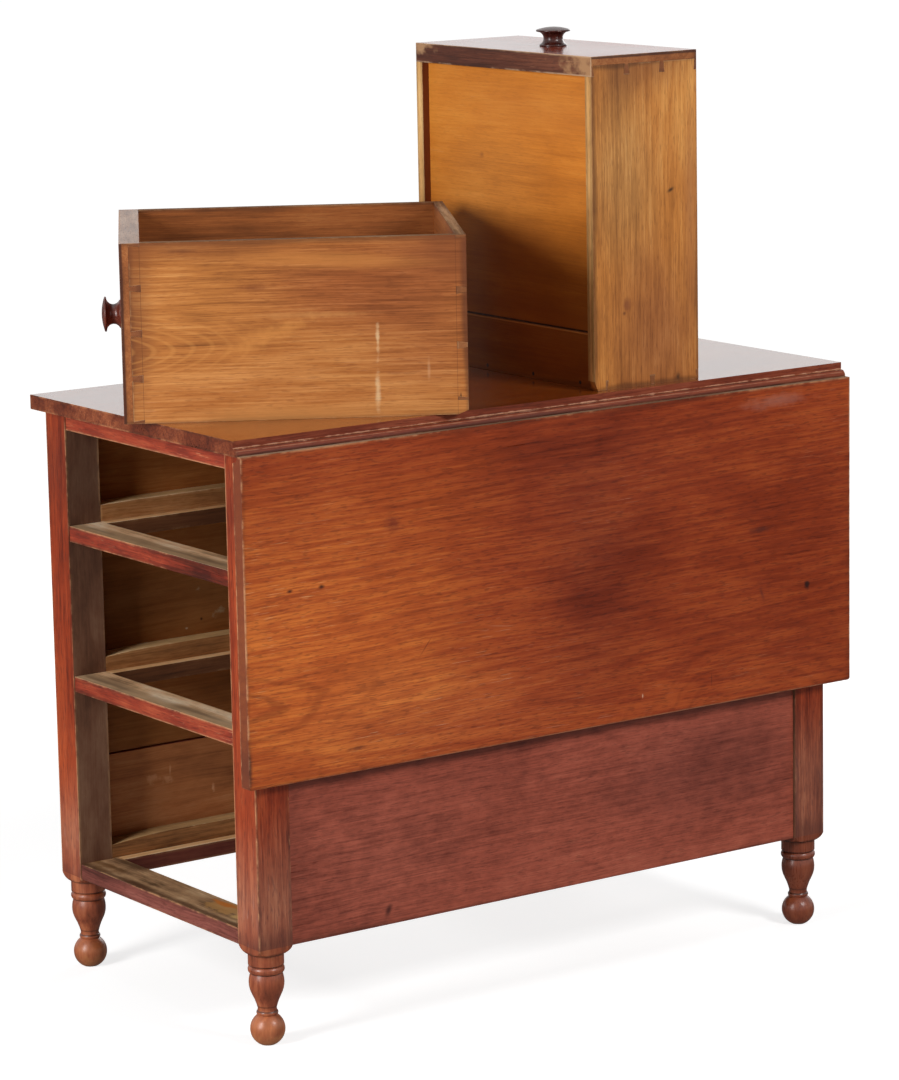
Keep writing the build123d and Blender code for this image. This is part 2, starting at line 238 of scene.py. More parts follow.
plainLook = {  # what a finish has unless it says otherwise
    "bendScale": (2.2, 8, 8), "bend": 0.025,
    "pith": (0.5, -0.06, 0.03),  # heart of the tree: share of the width, depth, slope along the board
    "fibreScale": (13, 520, 520), "streakScale": (3.5, 75, 75), "blotchScale": (14, 36, 36),
    "cloudScale": (4, 8, 8), "fleckScale": (70, 90, 90),
    "poreScale": (75, 800, 800), "pore": 0.5, "poreColour": (48, 20, 12),
    "grime": 0.0, "grimeWidth": 0.012, "grimeRagged": 3.0, "grimeColour": (52, 26, 16),
    "scuff": 0.0, "scuffScale": (28, 900, 900), "scuffColour": (206, 152, 112),
    "endGrain": 0.55, "endColour": (58, 30, 18),
    "wear": 0.5, "wearWidth": 0.003, "wearColour": (188, 128, 84), "wearRough": 0.15,
    "roughSpread": 0.3, "specular": 0.35, "polish": 0.0, "polishRough": 0.08,
    "bump": 0.25, "bumpHeight": 0.0004, "fibreRelief": 0.6, "poreRelief": 0.8, "dents": 2.0,
    "marks": (), "facing": 0.95, "above": -9.0, "below": 9.0,  # for a face: which polygons take it
}
layerNoise = {  # detail and roughness of each layer's noise
    "bend": (2.0, 0.5), "fibre": (3.0, 0.6), "streak": (3.0, 0.55), "pore": (1.0, 0.5), "cloud": (3.0, 0.55),
    "blotch": (4.0, 0.65), "fleck": (3.0, 0.6), "scuff": (2.0, 0.5), "blot": (4.0, 0.6), "grit": (3.0, 0.6),
}
effectReach = {  # where each effect begins and where it is full
    "pore": (0.45, 0.34), "grime": (1.0, 0.0), "scuff": (0.66, 0.74), "scuffPatch": (0.45, 0.6),
    "endGrain": (0.6, 0.95), "wearPatch": (0.44, 0.6),
}
wearShare = {"cloud": 0.6, "fleck": 0.4}  # what makes up the worn patches
ringGreys = ((0.0, 0.4), (0.15, 0.62), (0.65, 0.5), (0.9, 0.12), (1.0, 0.4))
ringMiddle = 0.48
toneStops = (0.15, 0.5, 0.85)
chance = {"shift": 9, "pith": 0.01, "tone": 0.05, "step": 31, "start": 7}  # how boards of one finish differ


def growthRings(tree, place, board, look, dice):
    x, y, z = parted(tree, place)
    share, deep, slope = look["pith"]
    heart = board["size"][1] * share + dice.uniform(-chance["pith"], chance["pith"])
    sideways = calc(tree, "SUBTRACT", y, heart)
    depth = calc(tree, "SUBTRACT", z, deep)
    reach = calc(tree, "MULTIPLY", sideways, sideways)
    reach = calc(tree, "SQRT", calc(tree, "ADD", reach, calc(tree, "MULTIPLY", depth, depth)))
    reach = calc(tree, "ADD", reach, calc(tree, "MULTIPLY", x, slope))
    ring = calc(tree, "FRACT", calc(tree, "DIVIDE", reach, look["ringWidth"]))
    return ramp(tree, ring, [(step, grey(level)) for step, level in ringGreys])


def addSoil(tree, colour, layers, gap, bent, look):
    if look["grime"]:
        dirt = calc(tree, "DIVIDE", gap, look["grimeWidth"])
        dirt = calc(tree, "ADD", dirt, swing(tree, layers["cloud"], look["grimeRagged"]))
        dirt = ease(tree, dirt, *effectReach["grime"], 0.0, look["grime"])
        colour = mixed(tree, dirt, colour, display(*look["grimeColour"]))
    if look["scuff"]:
        scuff = noise(tree, bent, look["scuffScale"], *layerNoise["scuff"])
        patch = ease(tree, layers["cloud"], *effectReach["scuffPatch"], 0.0, look["scuff"])
        scuff = calc(tree, "MULTIPLY", ease(tree, scuff, *effectReach["scuff"]), patch)
        colour = mixed(tree, scuff, colour, display(*look["scuffColour"]))
    return colour


def wornAmount(tree, layers, gap, look):
    patch = calc(tree, "MULTIPLY", layers["cloud"], wearShare["cloud"])
    patch = calc(tree, "ADD", patch, calc(tree, "MULTIPLY", layers["fleck"], wearShare["fleck"]))
    patch = ease(tree, patch, *effectReach["wearPatch"], 0.0, look["wear"])
    return calc(tree, "MULTIPLY", ease(tree, gap, look["wearWidth"], 0.0), patch)


def woodMaterial(name, board, look, seed, marks):
    look = {**plainLook, **look}
    material, tree, shader = freshMaterial(name)
    dice = random.Random(seed * chance["step"] + chance["start"])
    place = boardPlace(tree, board)
    shifted = vectorCalc(tree, "ADD", place, tuple(dice.uniform(0, chance["shift"]) for _ in range(3)))
    bend = noise(tree, shifted, look["bendScale"], *layerNoise["bend"], True)
    bend = vectorCalc(tree, "SUBTRACT", bend, (0.5, 0.5, 0.5))
    bend = vectorCalc(tree, "MULTIPLY", bend, (0, look["bend"], look["bend"]))
    bent = vectorCalc(tree, "ADD", shifted, bend)
    layers = {}
    for layer in ("fibre", "streak", "pore", "blotch"):  # these follow the bend of the grain
        layers[layer] = noise(tree, bent, look[layer + "Scale"], *layerNoise[layer])
    for layer in ("cloud", "fleck"):
        layers[layer] = noise(tree, shifted, look[layer + "Scale"], *layerNoise[layer])
    ring = growthRings(tree, vectorCalc(tree, "ADD", place, bend), board, look, dice)

    tone = swing(tree, ring, look["ring"], ringMiddle)
    for layer in ("fibre", "streak", "cloud", "blotch"):
        tone = calc(tree, "ADD", tone, swing(tree, layers[layer], look[layer]))
    tone = calc(tree, "ADD", tone, 0.5 + dice.uniform(-chance["tone"], chance["tone"]), True)
    colour = ramp(tree, tone, list(zip(toneStops, [display(*part) for part in look["colours"]])))
    pores = ease(tree, layers["pore"], *effectReach["pore"], 0.0, look["pore"])
    colour = mixed(tree, pores, colour, display(*look["poreColour"]))
    gap = edgeDistance(tree, place, board["size"])
    colour = addSoil(tree, colour, layers, gap, bent, look)
    colour = addMarks(tree, colour, place, layers, marks, look["colours"][1])
    normal = tree.nodes.new("ShaderNodeTexCoord").outputs["Normal"]
    endOn = calc(tree, "ABSOLUTE", vectorCalc(tree, "DOT_PRODUCT", normal, board["axes"][0]))
    endOn = ease(tree, endOn, *effectReach["endGrain"], 0.0, look["endGrain"])
    colour = mixed(tree, endOn, colour, display(*look["endColour"]))
    worn = wornAmount(tree, layers, gap, look)
    colour = mixed(tree, worn, colour, display(*look["wearColour"]))
    tree.links.new(colour, shader.inputs["Base Color"])

    rough = swing(tree, layers["fibre"], look["roughSpread"])
    rough = calc(tree, "ADD", rough, swing(tree, layers["cloud"], look["roughSpread"]))
    rough = calc(tree, "ADD", rough, calc(tree, "MULTIPLY", worn, look["wearRough"]))
    rough = calc(tree, "ADD", rough, look["rough"], True)
    tree.links.new(rough, shader.inputs["Roughness"])
    shader.inputs["Specular IOR Level"].default_value = look["specular"]
    shader.inputs["Coat Weight"].default_value = look["polish"]
    shader.inputs["Coat Roughness"].default_value = look["polishRough"]
    relief = calc(tree, "MULTIPLY", layers["fibre"], look["fibreRelief"])
    relief = calc(tree, "SUBTRACT", relief, calc(tree, "MULTIPLY", pores, look["poreRelief"]))
    relief = calc(tree, "ADD", relief, calc(tree, "MULTIPLY", layers["cloud"], look["dents"]))
    addBump(tree, shader, relief, look["bump"], look["bumpHeight"])
    return material


# edges and faces of a board

edges = {  # metres and degrees
    "case": 0.0008, "drawer": 0.0005, "rounds": 2, "seam": 0.00001, "flat": 0.5, "sharp": 38, "weight": 90,
}


def easeEdges(node, width, whole):
    piece = nodes[node]
    mesh = piece.data
    if mesh.has_custom_normals:
        bpy.context.view_layer.objects.active = piece
        bpy.ops.mesh.customdata_custom_splitnormals_clear()
    weld = piece.modifiers.new("closed seams", "WELD")
    weld.merge_threshold = edges["seam"]
    if whole:  # a grooved board folds when its faces are joined, so it goes without
        flat = piece.modifiers.new("whole faces", "DECIMATE")
        flat.decimate_type = "DISSOLVE"
        flat.angle_limit = math.radians(edges["flat"])
        flat.delimit = {"MATERIAL"}
    soft = piece.modifiers.new("eased edges", "BEVEL")
    soft.width = width
    soft.segments = edges["rounds"]
    soft.limit_method = "ANGLE"
    soft.angle_limit = math.radians(edges["sharp"])
    soft.use_clamp_overlap = True
    soft.harden_normals = False
    settle = piece.modifiers.new("flat shading", "WEIGHTED_NORMAL")
    settle.keep_sharp = True
    settle.weight = edges["weight"]
    for polygon in mesh.polygons:
        polygon.use_smooth = True


def dress(node, along, across, look, seed, faces=(), marks=(), edge=edges["case"], whole=True):
    board = boardFrame(node, along, across)
    mesh = nodes[node].data
    mesh.materials.clear()
    mesh.materials.append(woodMaterial(f"{node} finish", board, look, seed, marks))
    for number, (direction, faceLook) in enumerate(faces, 1):
        faceLook = {**plainLook, **faceLook}
        finish = woodMaterial(f"{node} face {number}", board, faceLook, seed, faceLook["marks"])
        mesh.materials.append(finish)
        towards = Vector(direction).normalized()
        for polygon in mesh.polygons:
            facing = polygon.normal.dot(towards) > faceLook["facing"]
            if facing and faceLook["above"] < polygon.center.z < faceLook["below"]:
                polygon.material_index = number
    easeEdges(node, edge, whole)
    return board


# finishes that several pieces share, colours as they show on a screen

redWood = {
    "colours": ((84, 27, 12), (142, 53, 24), (174, 79, 38)), "ringWidth": 0.009, "ring": 0.14,
    "fibre": 0.8, "streak": 0.45, "cloud": 0.55, "pore": 0.4, "poreColour": (62, 24, 16), "scuff": 0.5,
    "grime": 0.3, "grimeWidth": 0.006, "blotch": 0.5, "rough": 0.42, "roughSpread": 0.4, "specular": 0.3,
    "wear": 0.7, "wearColour": (196, 140, 98), "wearWidth": 0.0028, "endColour": (96, 44, 28),
}
bareWood = {
    "colours": ((88, 54, 30), (166, 112, 66), (204, 152, 100)), "ringWidth": 0.008, "ring": 0.15,
    "fibre": 0.55, "streak": 0.4, "cloud": 0.8, "blotch": 0.5, "pore": 0.2, "poreColour": (66, 40, 22),
    "rough": 0.72, "roughSpread": 0.3, "specular": 0.2, "wear": 0.8, "wearColour": (196, 150, 104),
    "wearWidth": 0.004, "bump": 0.4, "endColour": (84, 54, 32),
}
innerPost = dict(
    bareWood, colours=((70, 44, 32), (116, 78, 58), (142, 106, 82)), cloud=1.0, streak=0.25, fibre=0.35,
    pore=0.1, wear=0.4,
)
innerPanel = dict(
    bareWood, colours=((86, 46, 18), (142, 84, 38), (172, 112, 60)), wear=0.0, fibre=0.4, streak=0.3,
    pore=0.1,
)
innerPanel["marks"] = [
    # a darker band across the middle bay's wall is painted shade, and a lighter band across the top bay's
    # wall is painted light
    mark((0.3, 0.19), (endless, 0.08), (88, 48, 18), 0.5, ragged=0.5),
    mark((0.2, 0.32), (0.4, 0.07), (176, 108, 52), 0.6),
    mark((0.161, 0.19), (0.005, 0.004), (172, 146, 112), 0.7, fine=True, ragged=3.6),
    mark((0.19, 0.157), (0.012, 0.006), (172, 146, 112), 0.7, fine=True, ragged=4.4),
    mark((0.165, 0.151), (0.003, 0.003), (24, 12, 8), 0.9, fine=True, ragged=1.0),
    mark((0.143, 0.142), (0.003, 0.002), (200, 178, 148), 0.9, fine=True, ragged=2.0),
    mark((0.12, 0.4), (0.05, 0.03), (190, 150, 104), 0.3, fine=True, ragged=2.4),
]


# case

# posts: stained outside, bare inside above the foot, polished feet with dark grooves
postWood = dict(
    redWood, colours=((78, 24, 11), (134, 49, 22), (166, 72, 35)), streak=0.75, blotch=0.6, scuff=0.2,
    specular=0.24,
)
postMarks = [
    mark((0.17, 0.023), (0.13, 0.3), (150, 94, 72), 0.65),
    mark((0.64, 0.0), (0.09, 0.08), (88, 30, 17), 0.6),
    mark((0.12, 0.023), (0.03, 0.3), (84, 48, 40), 0.55, ragged=1.6),
]
postInside = dict(
    innerPost, blotch=0.9, above=0.13,
    marks=[
        mark((0.62, 0.023), (0.22, 0.3), (82, 54, 40), 0.7),
    ],
)
footPolish = dict(
    redWood, colours=((76, 35, 23), (124, 61, 39), (156, 88, 57)), fibre=0.4, pore=0.12, scuff=0.3,
    rough=0.34, roughSpread=0.3, specular=0.42, streak=0.6, endGrain=0.0, facing=-2.0, below=0.122,
)
footPolish["marks"] = [
    mark((0.0405, 0.023), (0.0016, endless), (34, 14, 10), 0.85, ragged=0.2),
    mark((0.0465, 0.023), (0.0014, endless), (34, 14, 10), 0.6, ragged=0.2),
    mark((0.0875, 0.023), (0.0016, endless), (34, 14, 10), 0.8, ragged=0.2),
    mark((0.0972, 0.023), (0.0016, endless), (34, 14, 10), 0.8, ragged=0.2),
    mark((0.112, 0.023), (0.003, endless), (44, 18, 12), 0.7, ragged=0.3),
]
footWorn = dict(
    footPolish, colours=((80, 38, 25), (138, 69, 43), (178, 104, 66)), blotch=1.3,
    marks=footPolish["marks"] + [
        mark((0.0, 0.023), (0.024, 0.2), (170, 112, 66), 0.6, ragged=2.2, fine=True),
        mark((0.026, 0.023), (0.018, 0.2), (196, 122, 74), 0.35, ragged=1.6),
    ],
)
# panels: a painted shadow line where the leaf's foot hangs, a dark spot, a lighter patch at the left and a
# darker one at the right
panelWood = dict(
    redWood, colours=((104, 45, 33), (158, 77, 57), (188, 103, 78)), pith=(0.4, -0.08, 0.02),
    streak=0.15, fibre=0.5, cloud=0.6, wear=0.0, blotchScale=(45, 70, 70),
    poreColour=(70, 32, 25), pore=0.3, grime=0.5, grimeWidth=0.005, scuff=0.3,
)
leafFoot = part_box("drop_leaf")[0].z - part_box("leaf_side_panel")[0].z
panelMarks = [
    # painted shadow of the hanging leaf on the panel
    mark((0.4, leafFoot - 0.003), (endless, 0.013), (54, 25, 20), 0.5, core=0.2, ragged=0.5),
    mark((0.148, 0.018), (0.006, 0.012), (54, 22, 18), 0.85, turn=-25, ragged=0.6),
    mark((0.12, 0.08), (0.2, 0.12), (176, 94, 73), 0.5),
    mark((0.62, 0.12), (0.22, 0.1), (112, 54, 44), 0.5),
]
innerLower = dict(innerPanel, colours=((110, 62, 34), (178, 110, 64), (204, 142, 94)))
innerLower["marks"] = [
    mark((0.112, 0.111), (0.002, 0.01), (222, 166, 118), 0.6, fine=True, ragged=2.0),
    mark((0.098, 0.103), (0.02, 0.006), (216, 156, 108), 0.5, fine=True, ragged=4.0),
    mark((0.175, 0.08), (0.003, 0.012), (222, 166, 118), 0.6, fine=True, ragged=3.0),
]
# rails: worn bare on top, the tops painted paler still as painted light where little lamp light reaches, the
# bottom one broken at its corner
railWood = dict(redWood, colours=((72, 22, 14), (134, 48, 28), (166, 76, 46)), blotch=0.9, grime=0.5)
lowRail = dict(redWood, colours=((76, 38, 32), (126, 68, 58), (152, 92, 80)), rough=0.5, specular=0.2)
# pale partly from bare wood, partly as painted light on the up-facing rail tops
railTop = dict(
    bareWood, colours=((136, 102, 72), (236, 192, 146), (255, 232, 200)), rough=0.6, cloud=1.3,
    streak=1.1, cloudScale=(12, 24, 24),
)
railTop["marks"] = [
    mark((0.2, 0.006), (endless, 0.022), (178, 146, 112), 0.75, core=0.5, ragged=0.9),
    mark((0.12, 0.015), (0.1, 0.006), (96, 72, 52), 0.6, ragged=2.2),
    mark((0.34, 0.013), (0.08, 0.006), (96, 72, 52), 0.6, ragged=2.2),
]
brokenRail = dict(railTop, colours=((96, 70, 48), (180, 140, 102), (224, 188, 146)), blotch=0.9)
brokenRail["marks"] = [
    mark((0.2, 0.003), (endless, 0.011), (74, 44, 28), 0.8, core=0.3),
    mark((0.36, 0.02), (0.06, 0.02), (112, 74, 40), 0.7, fine=True, ragged=1.6),
    mark((0.395, 0.03), (0.02, 0.03), (182, 132, 74), 0.8, fine=True, ragged=1.6),
    mark((0.1, 0.036), (0.05, 0.019), (196, 146, 88), 0.8, core=0.5, fine=True, ragged=1.8),
    mark((0.12, 0.043), (0.034, 0.008), (206, 122, 52), 0.95, core=0.4, fine=True),
    mark((0.075, 0.046), (0.01, 0.005), (40, 22, 12), 0.95, core=0.3, fine=True, ragged=1.6),
    mark((0.062, 0.024), (0.016, 0.008), (214, 174, 112), 0.9, core=0.3, fine=True, ragged=1.8),
]
# runners and guides
runnerTop = dict(
    bareWood, colours=((150, 106, 66), (226, 176, 122), (248, 214, 168)), wear=0.9,
    wearColour=(250, 226, 186),
)
guideTop = dict(runnerTop, colours=((140, 104, 66), (204, 164, 112), (236, 204, 158)), facing=0.8)
runnerFace = dict(bareWood, colours=((62, 36, 22), (106, 64, 38), (136, 90, 58)), wear=0.3)
redRunnerFace = dict(bareWood, colours=((52, 22, 18), (96, 44, 34), (124, 66, 50)), wear=0.3)
for end, inX in (("drawer_end", 1), ("closed_end", -1)):
    foot = footWorn if end == "drawer_end" else footPolish
    for side, inY in (("leaf_side", 1), ("back_side", -1)):
        faces = [((inX, 0, 0), postInside), ((0, inY, 0), postInside), (down, foot)]
        seed = 10 + inX + 2 * inY
        dress(f"{end}_{side}_post", up, toClosedEnd, postWood, seed, faces, postMarks)
dress("leaf_side_panel", toClosedEnd, up, panelWood, seed=21, faces=[(toBack, innerPanel)], marks=panelMarks)
dress("back_side_upper_board", toClosedEnd, up, panelWood, seed=22, faces=[(toLeaf, innerPanel)])
dress("back_side_lower_board", toClosedEnd, up, panelWood, seed=23, faces=[(toLeaf, innerLower)])
dress("closed_end_panel", toBack, up, panelWood, seed=24, faces=[(toDrawerEnd, innerPanel)])
for number, rail in enumerate(("top_rail", "upper_drawer_rail", "lower_drawer_rail", "bottom_rail")):
    lowest = rail == "bottom_rail"
    faces = [(up, brokenRail if lowest else railTop), (down, innerPost), (toClosedEnd, innerPost)]
    dress(rail, toBack, toClosedEnd, lowRail if lowest else railWood, seed=30 + number, faces=faces)
for number, bay in enumerate(("bottom_bay", "middle_bay", "top_bay")):
    face = redRunnerFace if bay == "bottom_bay" else runnerFace
    for step, (side, inward) in enumerate((("leaf_side", toBack), ("back_side", toLeaf))):
        seed = 40 + 4 * number + step
        dress(f"{bay}_{side}_runner", toClosedEnd, toBack, bareWood, seed, [(up, runnerTop), (inward, face)])
        dress(f"{bay}_{side}_guide", toClosedEnd, toBack, bareWood, seed + 2, [(up, guideTop)])
dress("leaf_side_kicker", toClosedEnd, toBack, bareWood, seed=61)
dress("back_side_kicker", toClosedEnd, toBack, bareWood, seed=62)
dress("drawer_stop_blocks", toBack, toClosedEnd, bareWood, seed=63)
dress("drawer_end_leaf_support", toBack, toClosedEnd, bareWood, seed=64)
dress("closed_end_leaf_support", toBack, toClosedEnd, bareWood, seed=65)
print("case dressed")


# top and leaf

# the top is polished, with a dull end and a worn moulding over the leaf
topWood = dict(
    redWood, colours=((90, 34, 9), (140, 66, 19), (176, 97, 36)), rough=0.11, roughSpread=0.12,
    specular=0.55, polish=0.5, pith=(0.4, -0.05, 0.05), wear=0.5, endGrain=0.35, endColour=(120, 66, 40),
    dents=3.0, scuff=0.0, grime=0.0,
)
topEnd = dict(
    redWood, colours=((46, 18, 11), (98, 43, 24), (144, 78, 46)), cloud=0.9, blotch=0.9,
    cloudScale=(9, 9, 20), endGrain=0.0, rough=0.38, wearColour=(176, 116, 78), grime=0.4,
    grimeWidth=0.003, scuff=0.6,
)
topMoulding = dict(
    redWood, colours=((78, 32, 20), (122, 54, 34), (152, 80, 54)), wear=0.5, rough=0.55, specular=0.15,
    facing=0.3,
)
topMoulding["marks"] = [
    # the dark band at the foot of the moulding is painted shade of the gap over the leaf
    mark((0.45, 0.0005), (endless, 0.004), (52, 26, 18), 0.6, plane="xz", core=0.3),
    mark((0.45, 0.0086), (endless, 0.0009), (70, 34, 24), 0.8, plane="xz", ragged=0.6),
    mark((0.45, 0.0096), (endless, 0.0009), (204, 158, 128), 0.85, plane="xz", fine=True, ragged=4.2),
    mark((0.45, 0.0065), (endless, 0.0007), (176, 124, 96), 0.6, plane="xz", fine=True, ragged=3.0),
]
topFaces = [(down, innerPanel), (toLeaf, topMoulding), (toDrawerEnd, topEnd), (toClosedEnd, topEnd)]
dress("top_board", toClosedEnd, toBack, topWood, seed=71, faces=topFaces)
# the leaf has large stains, the left one lighter and the right one darker partly as painted light falling
# off from the left, nested growth rings, small dents and scratches, and dust on its upper edge
leafWood = dict(
    redWood, colours=((86, 25, 8), (146, 56, 19), (190, 92, 35)), pith=(0.86, -0.035, -0.06),
    ringWidth=0.013, ring=0.2, streak=0.2, fibre=0.55, fibreScale=(11, 420, 420), cloud=0.5, blotch=0.35,
    pore=0.35, poreScale=(75, 640, 640), poreColour=(62, 20, 10), bend=0.018, specular=0.22, polish=0.3,
    wear=0.75, wearColour=(200, 146, 104), endColour=(102, 51, 32), endGrain=0.85, scuff=0.35,
)
ledgeDust = dict(redWood, colours=((84, 60, 44), (136, 106, 82), (178, 150, 122)), rough=0.8, specular=0.1)
leafMarks = [
    # lighter left part: partly the wood's own colour, partly painted light
    mark((0.08, 0.24), (0.36, 0.28), (214, 108, 42), 0.6),
    mark((0.3, 0.34), (0.3, 0.1), (180, 86, 40), 0.45),
    # darker right part: partly the wood's own colour, partly painted shade
    mark((0.78, 0.18), (0.36, 0.36), (122, 40, 8), 0.55),
    mark((0.5, 0.17), (0.19, 0.26), (108, 34, 12), 0.5),
    mark((0.5, 0.2), (0.1, 0.24), (98, 36, 22), 0.22, ragged=0.7),
    mark((0.52, 0.06), (0.3, 0.09), (128, 48, 18), 0.45),
    mark((-0.03, 0.292), (0.26, 0.085), (98, 36, 14), 0.42, rings=5.5, ragged=0.8, core=0.1),
    mark((0.74, 0.43), (0.34, 0.2), (86, 28, 10), 0.2, rings=13.0, ragged=0.5, core=0.4),
    mark((0.205, 0.1), (0.012, 0.016), (104, 38, 24), 0.7, turn=-60, fine=True),
    mark((0.105, 0.162), (0.006, 0.004), (52, 20, 14), 0.9, fine=True),
    mark((0.061, 0.162), (0.005, 0.003), (52, 20, 14), 0.9, fine=True),
    mark((0.756, 0.176), (0.026, 0.006), (70, 30, 22), 0.7, fine=True),
    mark((0.759, 0.258), (0.004, 0.014), (76, 34, 26), 0.6, turn=-20, fine=True),
    mark((0.832, 0.256), (0.006, 0.008), (40, 16, 12), 0.95, core=0.35, fine=True),
    mark((0.678, 0.355), (0.0012, 0.014), (62, 26, 20), 0.6, ragged=0.3),
    mark((0.357, 0.243), (0.03, 0.0012), (190, 124, 84), 0.5, turn=8, ragged=0.5),
    mark((0.25, 0.252), (0.02, 0.0012), (78, 32, 22), 0.6, turn=-50, ragged=0.5),
    mark((0.785, 0.018), (0.07, 0.012), (166, 112, 96), 0.4, fine=True),
    mark((0.15, 0.36), (0.02, 0.004), (84, 34, 22), 0.6, fine=True),
    mark((0.0, 0.362), (0.005, 0.034), (50, 36, 32), 0.8, ragged=0.8),
    mark((0.57, 0.36), (0.0015, 0.004), (214, 176, 144), 0.9, ragged=0.3),
]
leafFaces = [(toBack, innerPost), (up, ledgeDust)]
dress("drop_leaf", toClosedEnd, down, leafWood, seed=72, faces=leafFaces, marks=leafMarks, whole=False)
print("top and leaf dressed")


# drawers

# sides, backs and bottoms, each darker inside, with dry upper edges and pale lower ones
drawerWood = {
    "colours": ((124, 70, 28), (190, 120, 54), (224, 160, 86)), "ringWidth": 0.006, "ring": 0.12,
    "fibre": 0.6, "streak": 0.45, "cloud": 0.7, "blotch": 0.4, "pore": 0.3, "poreColour": (104, 52, 22),
    "rough": 0.5, "roughSpread": 0.3, "specular": 0.25, "endGrain": 0.75, "endColour": (74, 40, 24),
    "bend": 0.012, "wear": 0.3, "wearColour": (206, 164, 118), "wearWidth": 0.002, "grime": 0.55,
    "grimeWidth": 0.006, "grimeColour": (66, 36, 20), "scuff": 0.25,
}
deepSide = dict(
    drawerWood, colours=((96, 50, 20), (162, 97, 44), (196, 134, 74)), fibreScale=(9, 440, 440),
    fibre=0.8, streak=0.3, blotch=0.3,
)
drawerInside = dict(drawerWood, colours=((92, 48, 18), (152, 86, 39), (182, 115, 60)), rough=0.65)
leftInside = dict(
    drawerInside,
    marks=[
        mark((0.2, 0.003), (endless, 0.0095), (122, 60, 28), 0.85, core=0.7, ragged=0.3),
    ],
)
drawerBack = dict(
    drawerWood, colours=((84, 46, 22), (132, 80, 42), (160, 108, 64)), endColour=(132, 80, 46),
    endGrain=0.6,
)
drawerBottom = dict(
    drawerWood, colours=((164, 90, 26), (204, 122, 40), (226, 150, 62)), pith=(0.5, -0.1, 0.03),
    fibre=0.4, streak=0.3, ring=0.1, pore=0.12, grime=0.3,
)
# darker rear bottom boards: partly aged wood, partly painted shade
rearBottom = dict(drawerBottom, colours=((112, 58, 18), (150, 84, 28), (176, 110, 46)))
lowerEdge = dict(drawerWood, colours=((170, 112, 58), (224, 170, 104), (244, 204, 142)), grime=0.4)
upperEdge = dict(
    drawerWood, colours=((92, 62, 40), (146, 108, 76), (186, 150, 114)), rough=0.8, specular=0.08,
    blotch=0.8,
)
backEdge = dict(upperEdge, colours=((104, 74, 48), (166, 128, 94), (208, 174, 138)))
# front: polished face, dovetailed ends, worn lower edge
drawerFront = dict(redWood, rough=0.2, roughSpread=0.15, specular=0.5, polish=0.3, scuff=0.0, grime=0.0)
frontEdge = dict(
    redWood, colours=((70, 40, 28), (122, 78, 58), (160, 116, 90)), endColour=(66, 38, 26), endGrain=0.8,
)
# pale grey upper edge of the front: painted reflection of the bright backdrop
frontUpper = dict(
    redWood, colours=((112, 84, 70), (170, 140, 122), (214, 190, 172)), rough=0.45, endGrain=0.0,
    grime=0.0,
)
frontEnd = dict(drawerWood, colours=((96, 52, 26), (144, 84, 44), (176, 118, 70)), endGrain=0.0)
frontEnd["marks"] = [
    mark((0.1, 0.0193), (endless, 0.0083), (106, 60, 36), 0.6, plane="yz", core=0.9, ragged=0.1),
    mark((0.1, 0.0), (endless, 0.0042), (62, 30, 20), 0.85, plane="yz", core=0.6, ragged=0.5),
]
frontUnder = dict(
    redWood, colours=((54, 26, 17), (88, 45, 29), (122, 71, 48)), wear=0.9, wearColour=(196, 160, 126),
    endGrain=0.0,
)
frontUnder["marks"] = [
    mark((0.01, 0.012), (0.06, 0.03), (176, 132, 92), 0.9, plane="xz", fine=True, ragged=2.4),
    mark((0.35, 0.004), (0.03, 0.012), (184, 142, 104), 0.85, plane="xz", fine=True, ragged=2.4),
    mark((0.2, 0.0), (endless, 0.0012), (200, 164, 130), 0.8, plane="xz", fine=True, ragged=2.6),
]
knobPolish = dict(
    redWood, colours=((25, 8, 6), (52, 18, 12), (82, 34, 22)), rough=0.26, grime=0.0, scuff=0.0,
    roughSpread=0.12, specular=0.35, endGrain=0.0, wear=0.0, pore=0.2,
)
knobWorn = dict(knobPolish, colours=((46, 17, 12), (92, 40, 28), (136, 74, 54)))
# marks: stains, nested rings, scribed lines at the dovetails, pale knocks, dark dents
deepSideMarks = [
    mark((0.08, 0.13), (0.16, 0.13), (176, 112, 54), 0.55),
    mark((0.29, 0.15), (0.19, 0.08), (136, 70, 36), 0.65),
    mark((0.34, 0.07), (0.12, 0.06), (148, 82, 44), 0.4),
    mark((0.2, 0.006), (0.3, 0.022), (186, 130, 72), 0.6),
    mark((0.0, 0.12), (0.035, 0.2), (98, 50, 27), 0.7),
    mark((0.05, 0.205), (0.16, 0.022), (112, 60, 30), 0.55),
    mark((0.38, 0.2), (0.1, 0.05), (120, 64, 36), 0.5),
    mark((0.394, 0.1), (0.012, 0.2), (96, 52, 30), 0.5, ragged=1.6),
    mark((0.16, 0.1), (0.07, 0.014), (206, 140, 72), 0.4, turn=20, fine=True),
    mark((0.24, 0.185), (0.13, 0.012), (190, 124, 62), 0.45, turn=-3),
    mark((-0.06, 0.085), (0.27, 0.07), (206, 142, 76), 0.24, rings=12.0, ragged=0.3, core=0.3),
    mark((0.0125, 0.1), (0.0005, endless), (84, 44, 22), 0.7, ragged=0.3),
    mark((0.3785, 0.1), (0.0005, endless), (84, 44, 22), 0.6, ragged=0.3),
    mark((0.14, 0.156), (0.03, 0.007), (100, 46, 24), 0.6, fine=True),
    mark((0.06, 0.2), (0.03, 0.004), (92, 46, 24), 0.6, fine=True),
    mark((0.21, 0.122), (0.11, 0.005), (190, 132, 76), 0.45, fine=True),
    mark((0.286, 0.092), (0.0032, 0.026), (226, 196, 150), 0.55, fine=True, ragged=1.6),
    mark((0.285, 0.03), (0.0045, 0.036), (226, 196, 150), 0.55, fine=True, ragged=1.6),
    mark((0.382, 0.022), (0.0012, 0.006), (18, 10, 8), 1.0, ragged=0.2),
    mark((0.345, 0.055), (0.0025, 0.02), (196, 150, 110), 0.35, fine=True),
]
